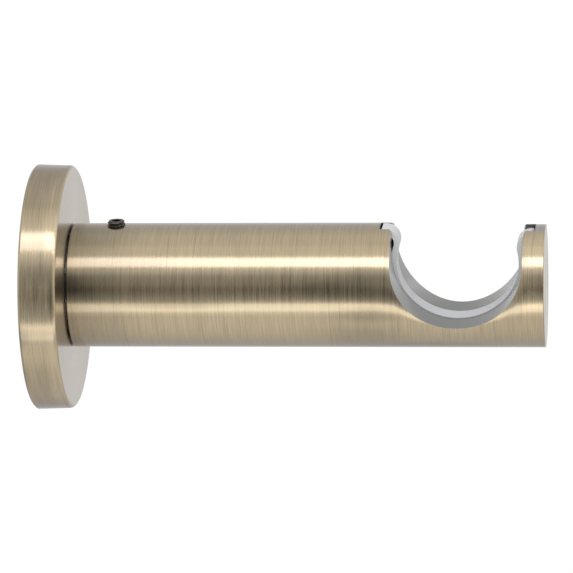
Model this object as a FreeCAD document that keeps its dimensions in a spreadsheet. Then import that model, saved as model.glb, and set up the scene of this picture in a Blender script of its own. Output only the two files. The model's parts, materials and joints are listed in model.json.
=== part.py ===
import FreeCAD, Part
import Sketcher
import math
import os

# Curtain pole bracket. The wall is the plane X = 0, the arm runs along +X, the pole along Y, +Z is up.
doc = FreeCAD.newDocument("curtain_pole_bracket")

# Driving dimensions in millimetres.
SIZES = [
    ("pole_diameter", 28.0, "curtain pole that the cup takes"),
    ("arm_diameter", 28.0, "outside diameter of the arm"),
    ("arm_reach", 115.2, "wall to the end face of the arm"),
    ("arm_gap", 0.25, "running gap between the rose and the arm"),
    ("arm_edge", 0.15, "edge break on the arm's ends"),
    ("rose_diameter", 55.5, "rose at its back edge"),
    ("rose_taper", 0.25, "the front of the rose is smaller than its back by this much, on the radius"),
    ("rose_thickness", 8.35, "wall to the front face of the rose"),
    ("rose_rim", 2.6, "rim wall of the rose"),
    ("rose_front_wall", 3.0, "front wall of the rose"),
    ("rose_fillet", 0.9, "front edge radius of the rose"),
    ("rose_back_edge", 0.45, "back edge break of the rose"),
    ("rose_inner_chamfer", 1.0, "sloped corner inside the rose where its rim meets its front wall"),
    ("rose_slack", 0.45, "radial slack of the rose on the spigot"),
    ("rose_rest_gap", 0.03, "gap left where the rose hangs on the spigot"),
    ("cup_clearance", 0.7, "radial clearance between the pole and the cup's metal"),
    ("pole_sink", 6.3, "axis of the pole below the crown of the arm"),
    ("cup_to_end", 19.55, "cup centre to the end face of the arm"),
    ("mouth_round", 1.5, "rounding where the cup's walls meet the crown of the arm"),
    ("outer_horn_drop", 0.45, "crown of the outer horn below the crown of the arm"),
    ("outer_horn_flatness", 2.0, "the outer horn's crown has a larger radius than the arm by this much"),
    ("channel_side_gap", 0.15, "side gap of the liner in its channel"),
    ("channel_bed_gap", 0.05, "gap between the liner's back and the channel's bed"),
    ("notch_length", 2.65, "notch on each horn top, measured from the cup wall"),
    ("notch_floor_gap", 0.2, "gap between each hook and its notch's floor"),
    ("liner_width", 6.1, "width of the plastic liner"),
    ("liner_thickness", 1.2, "thickness of the plastic liner"),
    ("liner_proud", 0.15, "the liner stands proud of the cup's metal by this much"),
    ("blend_less", 2.55, "the blend into each nose has a smaller radius than the seat by this much"),
    ("nose_bend", 3.2, "outside radius of each snap nose"),
    ("nose_setback_left", 1.5, "bend centre of the wall-side nose behind the cup wall"),
    ("nose_setback_right", 1.7, "bend centre of the outer nose behind the cup wall"),
    ("nose_sink_left", 0.45, "wall-side nose below the crown of the arm"),
    ("nose_sink_right", 1.6, "outer nose below the crown of the arm"),
    ("hook_gap", 0.45, "gap between the wall-side hook and the notch's end"),
    ("hook_round", 0.8, "rounded tip of the outer hook"),
    ("grub_to_wall", 18.5, "wall to the axis of the grub screw"),
    ("grub_diameter", 4.0, "M4 grub screw"),
    ("grub_length", 5.0, "length of the grub screw"),
    ("grub_hole_gap", 0.03, "radial gap of the grub screw in its hole"),
    ("grub_tip_gap", 0.05, "gap between the grub screw's point and the vee groove"),
    ("grub_top_chamfer", 0.3, "chamfer on the grub screw's top"),
    ("grub_key", 2.0, "hexagon key of the grub screw, across flats"),
    ("grub_key_depth", 2.0, "depth of the grub screw's hexagon"),
    ("arm_wall", 2.88, "wall of the arm round its bore"),
    ("bore_chamfer", 0.3, "chamfer at the mouth of the bore"),
    ("spigot_grip", 16.0, "length of spigot inside the arm"),
    ("spigot_fit", 0.12, "radial clearance of the spigot in the arm's bore"),
    ("spigot_end_gap", 1.0, "spigot end to the bottom of the bore"),
    ("spigot_chamfer", 1.0, "lead-in chamfer of the spigot"),
    ("vee_depth", 1.05, "depth of the vee groove round the spigot"),
    ("wall_plate_gap", 1.73, "least gap between the wall plate and the rim of the rose"),
    ("wall_plate_land", 0.45, "thickness of the steel plate beyond the countersink for the spigot's screw"),
    ("wall_plate_edge", 0.4, "edge break of that plate"),
    ("wall_screw_hole", 4.4, "diameter of each wall screw hole"),
    ("wall_screw_sink", 8.2, "diameter of its countersink"),
    ("fixing_diameter", 5.0, "M5 screw that holds the spigot"),
    ("fixing_length", 14.0, "length of that screw"),
    ("fixing_head", 9.2, "diameter of its countersunk head"),
    ("fixing_head_rim", 0.3, "straight rim of its head"),
    ("fixing_head_inset", 0.15, "its head lies below the plate's back by this much"),
    ("fixing_gap", 0.05, "gap round that screw"),
    ("fixing_key", 3.0, "its hexagon key, across flats"),
    ("fixing_key_depth", 1.8, "depth of its hexagon"),
    ("tapping_spare", 2.0, "drilled depth beyond that screw's tip"),
    ("cut_overrun", 2.0, "open cuts run past the crown of the arm by this much"),
]
sheet = doc.addObject("Spreadsheet::Sheet", "Sizes")
for row, (name, value, note) in enumerate(SIZES, start=1):
    sheet.set("A%d" % row, note)
    sheet.set("B%d" % row, str(value))
    sheet.setAlias("B%d" % row, name)
doc.recompute()

# Sizes that follow from the driving ones.
ARM_RADIUS = "Sizes.arm_diameter / 2"
ARM_START = "(Sizes.rose_thickness + Sizes.arm_gap)"
BORE_RADIUS = "(Sizes.arm_diameter / 2 - Sizes.arm_wall)"
PLATE_THICKNESS = ("(Sizes.fixing_head_inset + Sizes.fixing_head_rim + Sizes.fixing_head / 2"
                   " - Sizes.fixing_diameter / 2 + Sizes.wall_plate_land)")
SPIGOT_RADIUS = "(Sizes.arm_diameter / 2 - Sizes.arm_wall - Sizes.spigot_fit)"
SPIGOT_END = "(Sizes.rose_thickness + Sizes.arm_gap + Sizes.spigot_grip)"
CUP_X = "(Sizes.arm_reach - Sizes.cup_to_end)"
CUP_RADIUS = "(Sizes.pole_diameter / 2 + Sizes.cup_clearance)"
CUP_Z = "(%s - Sizes.pole_sink)" % ARM_RADIUS
SEAT_RADIUS = "(%s - Sizes.liner_proud)" % CUP_RADIUS
LINER_BLEND = "(%s - Sizes.blend_less)" % SEAT_RADIUS
CHANNEL_RADIUS = "(%s + Sizes.liner_thickness + Sizes.channel_bed_gap)" % SEAT_RADIUS
CHANNEL_WIDTH = "(Sizes.liner_width + 2 * Sizes.channel_side_gap)"
OUTER_CROWN = "(%s - Sizes.outer_horn_drop)" % ARM_RADIUS
OUTER_CROWN_RADIUS = "(%s + Sizes.outer_horn_flatness)" % ARM_RADIUS
NOTCH_REACH = "(%s + Sizes.notch_length)" % CUP_RADIUS
ABOVE_ARM = "(%s + Sizes.cut_overrun)" % ARM_RADIUS
LEFT_NOSE_OFFSET = "(%s + Sizes.nose_setback_left)" % CUP_RADIUS
RIGHT_NOSE_OFFSET = "(%s + Sizes.nose_setback_right)" % CUP_RADIUS
LEFT_NOSE_TOP = "(%s - Sizes.nose_sink_left)" % ARM_RADIUS
RIGHT_NOSE_TOP = "(%s - Sizes.nose_sink_right)" % ARM_RADIUS
LEFT_NOTCH_FLOOR = "(%s - Sizes.liner_thickness - Sizes.notch_floor_gap)" % LEFT_NOSE_TOP
RIGHT_NOTCH_FLOOR = "(%s - Sizes.liner_thickness - Sizes.notch_floor_gap)" % RIGHT_NOSE_TOP
GRUB_TIP = "(%s - Sizes.vee_depth + Sizes.grub_tip_gap)" % SPIGOT_RADIUS
GRUB_TOP = "(%s + Sizes.grub_length)" % GRUB_TIP
FIXING_HOLE = "(Sizes.fixing_diameter / 2 + Sizes.fixing_gap)"
FIXING_END = "(Sizes.fixing_head_inset + Sizes.fixing_length)"
ROSE_HOLLOW = "(Sizes.rose_diameter / 2 - Sizes.rose_rim)"
ROSE_DROP = "(Sizes.rose_slack - Sizes.rose_rest_gap)"
PLATE_RADIUS = "(%s - %s - Sizes.wall_plate_gap)" % (ROSE_HOLLOW, ROSE_DROP)
WALL_SCREW_LINE = "((%s + %s) / 2)" % (SPIGOT_RADIUS, PLATE_RADIUS)


def number(expression):
    """Value of an expression at the present sizes."""
    result = sheet.evalExpression(expression)
    return float(getattr(result, "Value", result))


def new_body(name):
    body = doc.addObject("PartDesign::Body", name)
    body.Label = name
    return body


def new_sketch(body, name, role):
    """Sketch on one of the body's own origin planes."""
    plane = [item for item in body.Origin.OriginFeatures if item.Role == role][0]
    sketch = body.newObject("Sketcher::SketchObject", name)
    sketch.AttachmentSupport = [(plane, "")]
    sketch.MapMode = "FlatFace"
    return sketch


def bind(sketch, kind, where, expression):
    """Dimension constraint whose value follows an expression."""
    index = sketch.addConstraint(Sketcher.Constraint(kind, *where, number(expression)))
    sketch.setExpression("Constraints[%d]" % index, expression)
    return index


def fix_point(sketch, where, across, up):
    """Hold a point at two expressions; None puts it on that axis."""
    if across is None:
        sketch.addConstraint(Sketcher.Constraint("PointOnObject", *where, -2))
    else:
        bind(sketch, "DistanceX", where, across)
    if up is None:
        sketch.addConstraint(Sketcher.Constraint("PointOnObject", *where, -1))
    else:
        bind(sketch, "DistanceY", where, up)


def straight(sketch, first, last):
    return sketch.addGeometry(Part.LineSegment(FreeCAD.Vector(*first, 0), FreeCAD.Vector(*last, 0)), False)


def arc(sketch, centre, radius, start, end):
    """Arc that runs anticlockwise between two angles in degrees."""
    circle = Part.Circle(FreeCAD.Vector(*centre, 0), FreeCAD.Vector(0, 0, 1), radius)
    return sketch.addGeometry(Part.ArcOfCircle(circle, math.radians(start), math.radians(end)), False)


def polygon(sketch, corners):
    """Closed outline of straight lines, each corner held by two expressions."""
    spots = [tuple(0.0 if item is None else number(item) for item in corner) for corner in corners]
    lines = [straight(sketch, spot, spots[(i + 1) % len(spots)]) for i, spot in enumerate(spots)]
    for i, line in enumerate(lines):
        following = lines[(i + 1) % len(lines)]
        sketch.addConstraint(Sketcher.Constraint("Coincident", line, 2, following, 1))
    for line, (across, up) in zip(lines, corners):
        fix_point(sketch, (line, 1), across, up)
    return lines


def revolve(body, sketch, name, axis):
    turned = body.newObject("PartDesign::Revolution", name)
    turned.Profile = sketch
    turned.ReferenceAxis = (sketch, [axis])
    turned.Angle = 360.0
    doc.recompute()
    return turned


def cut(body, sketch, name, depth=None, both_ways=False, upwards=False):
    """Pocket that is checked to take material away."""
    before = body.Shape.Volume
    pocket = body.newObject("PartDesign::Pocket", name)
    pocket.Profile = sketch
    if both_ways:
        pocket.Midplane = True
    if upwards:
        pocket.Reversed = True
    if depth is None:
        pocket.Type = "ThroughAll"
    else:
        pocket.Length = number(depth)
        pocket.setExpression("Length", depth)
    doc.recompute()
    if not pocket.Shape.Volume < before - 1e-3:
        raise RuntimeError("%s removes nothing" % name)
    return pocket


def hexagon(sketch, across_flats):
    """Hexagon about the sketch's origin, with two flats level."""
    radius = number(across_flats) / math.sqrt(3)
    turns = [math.radians(60 * i) for i in range(6)]
    corners = [(radius * math.cos(turn), radius * math.sin(turn)) for turn in turns]
    lines = [straight(sketch, corner, corners[(i + 1) % 6]) for i, corner in enumerate(corners)]
    for i in range(6):
        sketch.addConstraint(Sketcher.Constraint("Coincident", lines[i], 2, lines[(i + 1) % 6], 1))
        if i:
            sketch.addConstraint(Sketcher.Constraint("Equal", lines[0], lines[i]))
    ring = sketch.addGeometry(Part.Circle(FreeCAD.Vector(0, 0, 0), FreeCAD.Vector(0, 0, 1), radius), True)
    sketch.addConstraint(Sketcher.Constraint("Coincident", ring, 3, -1, 1))
    for line in lines[:5]:
        sketch.addConstraint(Sketcher.Constraint("PointOnObject", line, 2, ring))
    sketch.addConstraint(Sketcher.Constraint("PointOnObject", lines[0], 1, ring))
    sketch.addConstraint(Sketcher.Constraint("PointOnObject", lines[0], 1, -1))
    bind(sketch, "Radius", (ring,), "%s / sqrt(3)" % across_flats)


def edges_at(shape, radius, across):
    """Names of the circular edges about X with one radius at one X."""
    found = []
    for i, edge in enumerate(shape.Edges, start=1):
        curve = edge.Curve
        if curve.TypeId == "Part::GeomCircle":
            if abs(curve.Radius - radius) < 1e-4 and abs(curve.Center.x - across) < 1e-4:
                found.append("Edge%d" % i)
    return found


# Wall plate: turned disc with a central countersink at the back and two wall screw holes.
wall_plate = new_body("wall_plate")
section = new_sketch(wall_plate, "wall_plate_section", "XZ_Plane")
sink_radius = "(Sizes.fixing_head / 2 + Sizes.fixing_gap)"
sink_floor = "(Sizes.fixing_head_inset + Sizes.fixing_head_rim + %s - %s)" % (sink_radius, FIXING_HOLE)
polygon(section, [
    (None, sink_radius),
    (None, "%s - Sizes.wall_plate_edge" % PLATE_RADIUS),
    ("Sizes.wall_plate_edge", PLATE_RADIUS),
    ("%s - Sizes.wall_plate_edge" % PLATE_THICKNESS, PLATE_RADIUS),
    (PLATE_THICKNESS, "%s - Sizes.wall_plate_edge" % PLATE_RADIUS),
    (PLATE_THICKNESS, FIXING_HOLE),
    (sink_floor, FIXING_HOLE),
    ("Sizes.fixing_head_inset + Sizes.fixing_head_rim", sink_radius),
])
revolve(wall_plate, section, "wall_plate_disc", "H_Axis")
hole = new_sketch(wall_plate, "wall_screw_section", "XZ_Plane")
hole_edge = "(%s + Sizes.wall_screw_hole / 2)" % WALL_SCREW_LINE
hole_sink = "(%s + Sizes.wall_screw_sink / 2)" % WALL_SCREW_LINE
hole_depth = "(%s - Sizes.wall_screw_sink / 2 + Sizes.wall_screw_hole / 2)" % PLATE_THICKNESS
hole_lines = polygon(hole, [
    (None, WALL_SCREW_LINE),
    (None, hole_edge),
    (hole_depth, hole_edge),
    (PLATE_THICKNESS, hole_sink),
    (PLATE_THICKNESS, WALL_SCREW_LINE),
])
screw_line = number(WALL_SCREW_LINE)
axis_line = straight(hole, (0.0, screw_line), (number(PLATE_THICKNESS), screw_line))
hole.setConstruction(axis_line, True)
hole.addConstraint(Sketcher.Constraint("Coincident", axis_line, 1, hole_lines[0], 1))
hole.addConstraint(Sketcher.Constraint("Coincident", axis_line, 2, hole_lines[4], 1))
solid_plate = wall_plate.Shape.Volume
upper_hole = wall_plate.newObject("PartDesign::Groove", "upper_wall_screw_hole")
upper_hole.Profile = hole
upper_hole.ReferenceAxis = (hole, ["Axis0"])
upper_hole.Angle = 360.0
doc.recompute()
both_holes = wall_plate.newObject("PartDesign::Mirrored", "wall_screw_holes")
both_holes.Originals = [upper_hole]
level = [item for item in wall_plate.Origin.OriginFeatures if item.Role == "XY_Plane"][0]
both_holes.MirrorPlane = (level, [""])
wall_plate.Tip = both_holes
doc.recompute()
if not both_holes.Shape.Volume < upper_hole.Shape.Volume - 1e-3 < solid_plate - 2e-3:
    raise RuntimeError("the wall screw holes remove nothing")

# Spigot: turned plug with a vee groove under the grub screw and a tapped hole at the back.
spigot = new_body("spigot")
section = new_sketch(spigot, "spigot_section", "XZ_Plane")
tapped_end = "(%s + Sizes.tapping_spare)" % FIXING_END
polygon(section, [
    (PLATE_THICKNESS, FIXING_HOLE),
    (PLATE_THICKNESS, SPIGOT_RADIUS),
    ("Sizes.grub_to_wall - Sizes.vee_depth", SPIGOT_RADIUS),
    ("Sizes.grub_to_wall", "%s - Sizes.vee_depth" % SPIGOT_RADIUS),
    ("Sizes.grub_to_wall + Sizes.vee_depth", SPIGOT_RADIUS),
    ("%s - Sizes.spigot_chamfer" % SPIGOT_END, SPIGOT_RADIUS),
    (SPIGOT_END, "%s - Sizes.spigot_chamfer" % SPIGOT_RADIUS),
    (SPIGOT_END, None),
    (tapped_end, None),
    (tapped_end, FIXING_HOLE),
])
revolve(spigot, section, "spigot_turning", "H_Axis")

# Screw that holds the spigot: countersunk head with a hexagon key at the back.
spigot_screw = new_body("spigot_screw")
section = new_sketch(spigot_screw, "spigot_screw_section", "XZ_Plane")
polygon(section, [
    ("Sizes.fixing_head_inset", None),
    ("Sizes.fixing_head_inset", "Sizes.fixing_head / 2"),
    ("Sizes.fixing_head_inset + Sizes.fixing_head_rim", "Sizes.fixing_head / 2"),
    ("Sizes.fixing_head_inset + Sizes.fixing_head_rim + Sizes.fixing_head / 2 - Sizes.fixing_diameter / 2",
     "Sizes.fixing_diameter / 2"),
    ("%s - Sizes.fixing_diameter / 8" % FIXING_END, "Sizes.fixing_diameter / 2"),
    (FIXING_END, "Sizes.fixing_diameter * 3 / 8"),
    (FIXING_END, None),
])
revolve(spigot_screw, section, "spigot_screw_turning", "H_Axis")
key = new_sketch(spigot_screw, "spigot_screw_key", "YZ_Plane")
hexagon(key, "Sizes.fixing_key")
socket_depth = "Sizes.fixing_head_inset + Sizes.fixing_key_depth"
cut(spigot_screw, key, "spigot_screw_socket", socket_depth, upwards=True)

# Rose: turned cover, hollow at the back. It hangs on the spigot, so it sits low by its slack.
rose = new_body("rose")
rose.setExpression("Placement.Base.z", "-%s" % ROSE_DROP)
section = new_sketch(rose, "rose_section", "XZ_Plane")
rose_back = "Sizes.rose_diameter / 2"
rose_front = "(Sizes.rose_diameter / 2 - Sizes.rose_taper)"
rose_bore = "(%s + Sizes.rose_slack)" % SPIGOT_RADIUS
rose_shelf = "(Sizes.rose_thickness - Sizes.rose_front_wall)"
polygon(section, [
    (None, ROSE_HOLLOW),
    (None, "%s - Sizes.rose_back_edge" % rose_back),
    ("Sizes.rose_back_edge", rose_back),
    ("Sizes.rose_thickness", rose_front),
    ("Sizes.rose_thickness", rose_bore),
    (rose_shelf, rose_bore),
    (rose_shelf, "%s - Sizes.rose_inner_chamfer" % ROSE_HOLLOW),
    ("%s - Sizes.rose_inner_chamfer" % rose_shelf, ROSE_HOLLOW),
])
turned_rose = revolve(rose, section, "rose_turning", "H_Axis")
front_edge = edges_at(turned_rose.Shape, number(rose_front), number("Sizes.rose_thickness"))
front_round = rose.newObject("PartDesign::Fillet", "rose_front_edge")
front_round.Base = (turned_rose, front_edge)
front_round.setExpression("Radius", "min(Sizes.rose_fillet; 0.45 * Sizes.rose_front_wall)")
doc.recompute()

# Arm: round bar with a blind bore at the wall end.
arm = new_body("arm")
section = new_sketch(arm, "arm_section", "XZ_Plane")
bore_end = "(%s + Sizes.spigot_end_gap)" % SPIGOT_END
polygon(section, [
    (ARM_START, "%s + Sizes.bore_chamfer" % BORE_RADIUS),
    (ARM_START, "%s - Sizes.arm_edge" % ARM_RADIUS),
    ("%s + Sizes.arm_edge" % ARM_START, ARM_RADIUS),
    ("Sizes.arm_reach - Sizes.arm_edge", ARM_RADIUS),
    ("Sizes.arm_reach", "%s - Sizes.arm_edge" % ARM_RADIUS),
    ("Sizes.arm_reach", None),
    (bore_end, None),
    (bore_end, BORE_RADIUS),
    ("%s + Sizes.bore_chamfer" % ARM_START, BORE_RADIUS),
])
revolve(arm, section, "arm_turning", "H_Axis")


def u_outline(sketch, radius):
    """Half circle about the pole's axis with straight sides up past the arm."""
    centre = (number(CUP_X), number(CUP_Z))
    size = number(radius)
    top = number(ABOVE_ARM)
    bowl = arc(sketch, centre, size, 180, 360)
    right = straight(sketch, (centre[0] + size, centre[1]), (centre[0] + size, top))
    lid = straight(sketch, (centre[0] + size, top), (centre[0] - size, top))
    left = straight(sketch, (centre[0] - size, top), (centre[0] - size, centre[1]))
    sketch.addConstraint(Sketcher.Constraint("Tangent", bowl, 2, right, 1))
    sketch.addConstraint(Sketcher.Constraint("Coincident", right, 2, lid, 1))
    sketch.addConstraint(Sketcher.Constraint("Coincident", lid, 2, left, 1))
    sketch.addConstraint(Sketcher.Constraint("Tangent", left, 2, bowl, 1))
    sketch.addConstraint(Sketcher.Constraint("Vertical", right))
    sketch.addConstraint(Sketcher.Constraint("Vertical", left))
    sketch.addConstraint(Sketcher.Constraint("Horizontal", lid))
    bind(sketch, "Radius", (bowl,), radius)
    fix_point(sketch, (bowl, 3), CUP_X, CUP_Z)
    bind(sketch, "DistanceY", (right, 2), ABOVE_ARM)


# Cup for the pole, channel for the liner and notches for the liner's hooks.
cup = new_sketch(arm, "cup_outline", "XZ_Plane")
u_outline(cup, CUP_RADIUS)
cut(arm, cup, "cup", both_ways=True)
channel = new_sketch(arm, "channel_outline", "XZ_Plane")
u_outline(channel, CHANNEL_RADIUS)
cut(arm, channel, "liner_channel", CHANNEL_WIDTH, both_ways=True)
notch = new_sketch(arm, "notch_outline", "XZ_Plane")
for way, floor in (("-", LEFT_NOTCH_FLOOR), ("+", RIGHT_NOTCH_FLOOR)):
    notch_end = "%s %s %s" % (CUP_X, way, NOTCH_REACH)
    notch_start = "%s %s %s / 2" % (CUP_X, way, CUP_RADIUS)
    polygon(notch, [
        (notch_end, floor),
        (notch_start, floor),
        (notch_start, ABOVE_ARM),
        (notch_end, ABOVE_ARM),
    ])
cut(arm, notch, "hook_notches", CHANNEL_WIDTH, both_ways=True)


def rounded_mouth(sketch, way, crown):
    """Cut over one horn top whose lower corner is rounded from the cup's wall to the crown."""
    sign = 1 if way == "+" else -1
    size = number("Sizes.mouth_round")
    outside = number(CUP_X) + sign * (number(CUP_RADIUS) + size)
    inside = number(CUP_X) + sign * number(CUP_RADIUS) / 2
    floor_height = number(crown) - size
    top = number(ABOVE_ARM)
    lid = straight(sketch, (inside, top), (outside, top))
    side = straight(sketch, (outside, top), (outside, floor_height + size))
    if sign < 0:
        corner = arc(sketch, (outside, floor_height), size, 0, 90)
        high_end, low_end = 2, 1
    else:
        corner = arc(sketch, (outside, floor_height), size, 90, 180)
        high_end, low_end = 1, 2
    floor = straight(sketch, (outside - sign * size, floor_height), (inside, floor_height))
    riser = straight(sketch, (inside, floor_height), (inside, top))
    for pair in [(lid, 2, side, 1), (side, 2, corner, high_end), (corner, low_end, floor, 1),
                 (floor, 2, riser, 1), (riser, 2, lid, 1)]:
        sketch.addConstraint(Sketcher.Constraint("Coincident", *pair))
    for line in (side, riser):
        sketch.addConstraint(Sketcher.Constraint("Vertical", line))
    for line in (lid, floor):
        sketch.addConstraint(Sketcher.Constraint("Horizontal", line))
    bind(sketch, "Radius", (corner,), "Sizes.mouth_round")
    round_across = "%s %s (%s + Sizes.mouth_round)" % (CUP_X, way, CUP_RADIUS)
    round_height = "%s - Sizes.mouth_round" % crown
    fix_point(sketch, (corner, 3), round_across, round_height)
    fix_point(sketch, (side, 1), round_across, ABOVE_ARM)
    fix_point(sketch, (riser, 1), "%s %s %s / 2" % (CUP_X, way, CUP_RADIUS), round_height)


mouth = new_sketch(arm, "mouth_outline", "XZ_Plane")
rounded_mouth(mouth, "-", ARM_RADIUS)
rounded_mouth(mouth, "+", OUTER_CROWN)
cut(arm, mouth, "rounded_mouth", both_ways=True)

# The outer horn's crown is lower and flatter than the arm.
crest = new_sketch(arm, "outer_crown_outline", "YZ_Plane")
crest.setExpression("AttachmentOffset.Base.z", CUP_X)
crest_radius = number(OUTER_CROWN_RADIUS)
crest_centre = number(OUTER_CROWN) - crest_radius
half_width = number(ARM_RADIUS)
crest_side = math.degrees(math.acos(half_width / crest_radius))
shoulder = crest_centre + crest_radius * math.sin(math.radians(crest_side))
crest_top = number(ABOVE_ARM)
crest_arc = arc(crest, (0.0, crest_centre), crest_radius, crest_side, 180 - crest_side)
crest_left = straight(crest, (-half_width, shoulder), (-half_width, crest_top))
crest_lid = straight(crest, (-half_width, crest_top), (half_width, crest_top))
crest_right = straight(crest, (half_width, crest_top), (half_width, shoulder))
for pair in [(crest_arc, 2, crest_left, 1), (crest_left, 2, crest_lid, 1),
             (crest_lid, 2, crest_right, 1), (crest_right, 2, crest_arc, 1)]:
    crest.addConstraint(Sketcher.Constraint("Coincident", *pair))
for line in (crest_left, crest_right):
    crest.addConstraint(Sketcher.Constraint("Vertical", line))
crest.addConstraint(Sketcher.Constraint("Horizontal", crest_lid))
bind(crest, "Radius", (crest_arc,), OUTER_CROWN_RADIUS)
fix_point(crest, (crest_arc, 3), None, "%s - %s" % (OUTER_CROWN, OUTER_CROWN_RADIUS))
fix_point(crest, (crest_lid, 1), "-%s" % ARM_RADIUS, ABOVE_ARM)
bind(crest, "DistanceX", (crest_lid, 2), ARM_RADIUS)
cut(arm, crest, "outer_crown", upwards=True)
tapped = new_sketch(arm, "grub_hole_outline", "XY_Plane")
ring = tapped.addGeometry(Part.Circle(FreeCAD.Vector(number("Sizes.grub_to_wall"), 0, 0),
                                      FreeCAD.Vector(0, 0, 1), number("Sizes.grub_diameter / 2")), False)
fix_point(tapped, (ring, 3), "Sizes.grub_to_wall", None)
bind(tapped, "Radius", (ring,), "Sizes.grub_diameter / 2 + Sizes.grub_hole_gap")
cut(arm, tapped, "grub_hole", upwards=True)

# Grub screw: cone point in the vee groove, hexagon key in its top.
grub_screw = new_body("grub_screw")
grub_screw.setExpression("Placement.Base.x", "Sizes.grub_to_wall")
section = new_sketch(grub_screw, "grub_section", "XZ_Plane")
polygon(section, [
    (None, GRUB_TIP),
    ("Sizes.grub_diameter / 2", "%s + Sizes.grub_diameter / 2" % GRUB_TIP),
    ("Sizes.grub_diameter / 2", "%s - Sizes.grub_top_chamfer" % GRUB_TOP),
    ("Sizes.grub_diameter / 2 - Sizes.grub_top_chamfer", GRUB_TOP),
    (None, GRUB_TOP),
])
revolve(grub_screw, section, "grub_turning", "V_Axis")
key = new_sketch(grub_screw, "grub_key_outline", "XY_Plane")
key.setExpression("AttachmentOffset.Base.z", GRUB_TOP)
hexagon(key, "Sizes.grub_key")
cut(grub_screw, key, "grub_socket", "Sizes.grub_key_depth")


def blend_centre(side, nose, seat):
    """Centre of the arc that touches the seat inside and the nose outside, before the sketch is solved."""
    seat_gap = seat - number(LINER_BLEND)
    nose_gap = number("Sizes.nose_bend") + number(LINER_BLEND)
    across = nose[0] - number(CUP_X)
    up = nose[1] - number(CUP_Z)
    span = math.hypot(across, up)
    along = (span * span + seat_gap * seat_gap - nose_gap * nose_gap) / (2 * span)
    aside = math.sqrt(max(seat_gap * seat_gap - along * along, 0.0)) * side
    return (number(CUP_X) + (across * along - up * aside) / span,
            number(CUP_Z) + (up * along + across * aside) / span)


def angle(start, end):
    return math.degrees(math.atan2(end[1] - start[1], end[0] - start[0]))


# Liner: one bent strip, seat arc, blends and noses on its face and the same again on its back.
pole_liner = new_body("pole_liner")
strip = new_sketch(pole_liner, "liner_outline", "XZ_Plane")
seat_centre = (number(CUP_X), number(CUP_Z))
seat = number(SEAT_RADIUS)
wall_size = number("Sizes.liner_thickness")
bend = number("Sizes.nose_bend")
blend = number(LINER_BLEND)
left_nose = (number(CUP_X) - number(LEFT_NOSE_OFFSET), number(LEFT_NOSE_TOP) - bend)
right_nose = (number(CUP_X) + number(RIGHT_NOSE_OFFSET), number(RIGHT_NOSE_TOP) - bend)
left_blend = blend_centre(1.0, left_nose, seat)
right_blend = blend_centre(-1.0, right_nose, seat)
left_low = angle(seat_centre, left_blend) % 360
right_low = angle(seat_centre, right_blend) % 360
left_high = angle(left_nose, left_blend)
right_high = angle(right_nose, right_blend) % 360
left_tip = number(CUP_X) - number(NOTCH_REACH) + number("Sizes.hook_gap")
right_tip = right_nose[0] + number("Sizes.hook_round")


def strip_face(offset):
    """Five arcs of one side of the strip, from the wall-side nose to the outer nose."""
    return (
        arc(strip, left_nose, bend - offset, left_high, 90),
        arc(strip, left_blend, blend + offset, left_high + 180, left_low),
        arc(strip, seat_centre, seat + offset, left_low, right_low),
        arc(strip, right_blend, blend + offset, right_low, right_high + 180),
        arc(strip, right_nose, bend - offset, 90, right_high),
    )


def join(first, first_end, second, second_end, kind="Tangent"):
    strip.addConstraint(Sketcher.Constraint(kind, first, first_end, second, second_end))


face = strip_face(0.0)
back = strip_face(wall_size)
round_centre = (right_nose[0], number(RIGHT_NOSE_TOP) - number("Sizes.hook_round"))
hook_end = arc(strip, round_centre, number("Sizes.hook_round"), 0, 90)
left_top = straight(strip, (left_tip, left_nose[1] + bend), (left_nose[0], left_nose[1] + bend))
left_under = straight(strip, (left_nose[0], left_nose[1] + bend - wall_size),
                      (left_tip, left_nose[1] + bend - wall_size))
left_close = straight(strip, (left_tip, left_nose[1] + bend - wall_size), (left_tip, left_nose[1] + bend))
right_under = straight(strip, (right_tip, right_nose[1] + bend - wall_size),
                       (right_nose[0], right_nose[1] + bend - wall_size))
right_close = straight(strip, (right_tip, round_centre[1]), (right_tip, right_nose[1] + bend - wall_size))
for row in (face, back):
    join(row[0], 1, row[1], 1)
    join(row[1], 2, row[2], 1)
    join(row[2], 2, row[3], 1)
    join(row[3], 2, row[4], 2)
for i in (0, 1, 2, 3, 4):
    join(face[i], 3, back[i], 3, "Coincident")
join(left_top, 2, face[0], 2)
join(left_under, 1, back[0], 2)
join(left_under, 2, left_close, 1, "Coincident")
join(left_close, 2, left_top, 1, "Coincident")
join(face[4], 1, hook_end, 2)
join(hook_end, 1, right_close, 1)
join(right_close, 2, right_under, 1, "Coincident")
join(right_under, 2, back[4], 1)
strip.addConstraint(Sketcher.Constraint("Vertical", left_close))
strip.addConstraint(Sketcher.Constraint("Horizontal", left_top))
strip.addConstraint(Sketcher.Constraint("Horizontal", left_under))
strip.addConstraint(Sketcher.Constraint("Horizontal", right_under))
strip.addConstraint(Sketcher.Constraint("Vertical", right_close))
fix_point(strip, (face[2], 3), CUP_X, CUP_Z)
left_nose_across = "%s - %s" % (CUP_X, LEFT_NOSE_OFFSET)
right_nose_across = "%s + %s" % (CUP_X, RIGHT_NOSE_OFFSET)
fix_point(strip, (face[0], 3), left_nose_across, "%s - Sizes.nose_bend" % LEFT_NOSE_TOP)
fix_point(strip, (face[4], 3), right_nose_across, "%s - Sizes.nose_bend" % RIGHT_NOSE_TOP)
bind(strip, "Radius", (face[2],), SEAT_RADIUS)
bind(strip, "Radius", (back[2],), "%s + Sizes.liner_thickness" % SEAT_RADIUS)
bind(strip, "Radius", (face[0],), "Sizes.nose_bend")
bind(strip, "Radius", (face[4],), "Sizes.nose_bend")
bind(strip, "Radius", (face[1],), LINER_BLEND)
bind(strip, "Radius", (face[3],), LINER_BLEND)
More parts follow.
